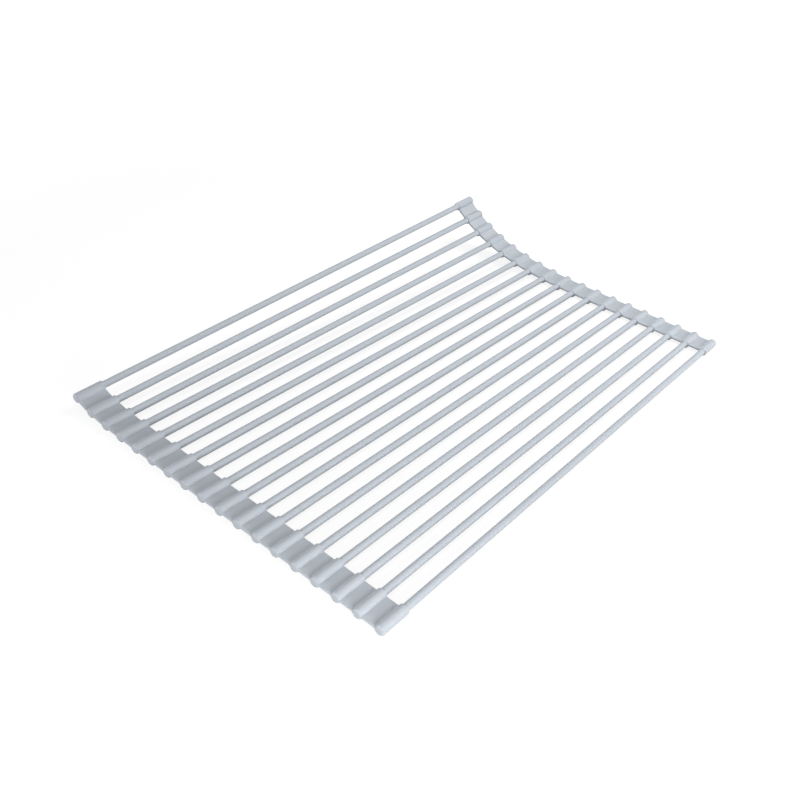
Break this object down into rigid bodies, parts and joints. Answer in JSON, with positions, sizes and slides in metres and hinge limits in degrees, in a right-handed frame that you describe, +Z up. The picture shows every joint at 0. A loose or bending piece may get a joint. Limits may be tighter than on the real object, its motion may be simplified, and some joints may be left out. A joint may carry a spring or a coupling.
{
  "type": "roll up dish drying rack",
  "caption": "Mat of parallel silicone covered steel rods, joined at both ends by silicone strips whose thin webs flex, so it rolls up; it lies over a sink or on a counter.",
  "frame": {"origin": "on the counter, under the middle of the rack's box", "axes": "+X along the rods, +Y from the flat front rod to the curled back rod, +Z up"},
  "size_m": [0.52, 0.3314, 0.0522],
  "materials": {
    "silicone": "satin, light cool grey",
    "steel": "drawn tube"
  },
  "bodies": {
    "rod_18": {"steel_rod_18": "steel", "silicone_jacket_18": "silicone", "flex_web_17": "silicone"},
    "rod_17": {"steel_rod_17": "steel", "silicone_jacket_17": "silicone", "flex_web_16": "silicone"},
    "rod_16": {"steel_rod_16": "steel", "silicone_jacket_16": "silicone", "flex_web_15": "silicone"},
    "rod_15": {"steel_rod_15": "steel", "silicone_jacket_15": "silicone", "flex_web_14": "silicone"},
    "rod_14": {"steel_rod_14": "steel", "silicone_jacket_14": "silicone", "flex_web_13": "silicone"},
    "rod_13": {"steel_rod_13": "steel", "silicone_jacket_13": "silicone", "flex_web_12": "silicone"},
    "rod_12": {"steel_rod_12": "steel", "silicone_jacket_12": "silicone", "flex_web_11": "silicone"},
    "rod_11": {"steel_rod_11": "steel", "silicone_jacket_11": "silicone", "flex_web_10": "silicone"},
    "rod_10": {"steel_rod_10": "steel", "silicone_jacket_10": "silicone", "flex_web_09": "silicone"},
    "rod_09": {"steel_rod_09": "steel", "silicone_jacket_09": "silicone", "flex_web_08": "silicone"},
    "rod_08": {"steel_rod_08": "steel", "silicone_jacket_08": "silicone", "flex_web_07": "silicone"},
    "rod_07": {"steel_rod_07": "steel", "silicone_jacket_07": "silicone", "flex_web_06": "silicone"},
    "rod_06": {"steel_rod_06": "steel", "silicone_jacket_06": "silicone", "flex_web_05": "silicone"},
    "rod_05": {"steel_rod_05": "steel", "silicone_jacket_05": "silicone", "flex_web_04": "silicone"},
    "rod_04": {"steel_rod_04": "steel", "silicone_jacket_04": "silicone", "flex_web_03": "silicone"},
    "rod_03": {"steel_rod_03": "steel", "silicone_jacket_03": "silicone", "flex_web_02": "silicone"},
    "rod_02": {"steel_rod_02": "steel", "silicone_jacket_02": "silicone", "flex_web_01": "silicone"},
    "rod_01": {"steel_rod_01": "steel", "silicone_jacket_01": "silicone"}
  },
  "joints": [
    {"name": "web_hinge_17", "type": "hinge", "parent": "rod_18", "child": "rod_17", "pos_m": [0, -0.15203, 0.0042], "axis": [1, 0, 0], "range_deg": [-26, 26], "stiffness_Nm_per_rad": 0.05, "deforming": ["flex_web_17"]},
    {"name": "web_hinge_16", "type": "hinge", "parent": "rod_17", "child": "rod_16", "pos_m": [0, -0.13298, 0.0042], "axis": [1, 0, 0], "range_deg": [-27, 27], "stiffness_Nm_per_rad": 0.05, "deforming": ["flex_web_16"]},
    {"name": "web_hinge_15", "type": "hinge", "parent": "rod_16", "child": "rod_15", "pos_m": [0, -0.11393, 0.0042], "axis": [1, 0, 0], "range_deg": [-28, 28], "stiffness_Nm_per_rad": 0.05, "deforming": ["flex_web_15"]},
    {"name": "web_hinge_14", "type": "hinge", "parent": "rod_15", "child": "rod_14", "pos_m": [0, -0.09488, 0.0042], "axis": [1, 0, 0], "range_deg": [-28, 28], "stiffness_Nm_per_rad": 0.05, "deforming": ["flex_web_14"]},
    {"name": "web_hinge_13", "type": "hinge", "parent": "rod_14", "child": "rod_13", "pos_m": [0, -0.07583, 0.0042], "axis": [1, 0, 0], "range_deg": [-29, 29], "stiffness_Nm_per_rad": 0.05, "deforming": ["flex_web_13"]},
    {"name": "web_hinge_12", "type": "hinge", "parent": "rod_13", "child": "rod_12", "pos_m": [0, -0.05678, 0.0042], "axis": [1, 0, 0], "range_deg": [-30, 30], "stiffness_Nm_per_rad": 0.05, "deforming": ["flex_web_12"]},
    {"name": "web_hinge_11", "type": "hinge", "parent": "rod_12", "child": "rod_11", "pos_m": [0, -0.03773, 0.0042], "axis": [1, 0, 0], "range_deg": [-31, 31], "stiffness_Nm_per_rad": 0.05, "deforming": ["flex_web_11"]},
    {"name": "web_hinge_10", "type": "hinge", "parent": "rod_11", "child": "rod_10", "pos_m": [0, -0.01868, 0.0042], "axis": [1, 0, 0], "range_deg": [-33.2, 32.8], "stiffness_Nm_per_rad": 0.05, "deforming": ["flex_web_10"]},
    {"name": "web_hinge_09", "type": "hinge", "parent": "rod_10", "child": "rod_09", "pos_m": [0, 0.00037, 0.00427], "axis": [1, 0, 0.0003], "range_deg": [-34.6, 33.4], "stiffness_Nm_per_rad": 0.05, "deforming": ["flex_web_09"]},
    {"name": "web_hinge_08", "type": "hinge", "parent": "rod_09", "child": "rod_08", "pos_m": [0, 0.01942, 0.00454], "axis": [1, 0, 0.0013], "range_deg": [-37, 35], "stiffness_Nm_per_rad": 0.05, "deforming": ["flex_web_08"]},
    {"name": "web_hinge_07", "type": "hinge", "parent": "rod_08", "child": "rod_07", "pos_m": [0, 0.03845, 0.00515], "axis": [1, -0.0001, 0.0036], "range_deg": [-38.4, 35.6], "stiffness_Nm_per_rad": 0.05, "deforming": ["flex_web_07"]},
    {"name": "web_hinge_06", "type": "hinge", "parent": "rod_07", "child": "rod_06", "pos_m": [0, 0.05743, 0.00624], "axis": [1, -0.0003, 0.0078], "range_deg": [-40.8, 37.2], "stiffness_Nm_per_rad": 0.05, "deforming": ["flex_web_06"]},
    {"name": "web_hinge_05", "type": "hinge", "parent": "rod_06", "child": "rod_05", "pos_m": [0, 0.07633, 0.00794], "axis": [0.9999, -0.0009, 0.0143], "range_deg": [-44.3, 39.7], "stiffness_Nm_per_rad": 0.05, "deforming": ["flex_web_05"]},
    {"name": "web_hinge_04", "type": "hinge", "parent": "rod_05", "child": "rod_04", "pos_m": [0.00001, 0.09507, 0.01036], "axis": [0.9997, -0.0021, 0.0237], "range_deg": [-47.7, 42.3], "stiffness_Nm_per_rad": 0.05, "deforming": ["flex_web_04"]},
    {"name": "web_hinge_03", "type": "hinge", "parent": "rod_04", "child": "rod_03", "pos_m": [0.00001, 0.11354, 0.01364], "axis": [0.9993, -0.0043, 0.0363], "range_deg": [-52.1, 43.9], "stiffness_Nm_per_rad": 0.05, "deforming": ["flex_web_03"]},
    {"name": "web_hinge_02", "type": "hinge", "parent": "rod_03", "child": "rod_02", "pos_m": [0.00003, 0.1316, 0.0182], "axis": [0.9987, -0.0081, 0.0511], "range_deg": [-59.7, 46.3], "stiffness_Nm_per_rad": 0.05, "deforming": ["flex_web_02"]},
    {"name": "web_hinge_01", "type": "hinge", "parent": "rod_02", "child": "rod_01", "pos_m": [0.00005, 0.14899, 0.02482], "axis": [0.9977, -0.0137, 0.0659], "range_deg": [-69.2, 50.8], "stiffness_Nm_per_rad": 0.05, "deforming": ["flex_web_01"]}
  ]
}
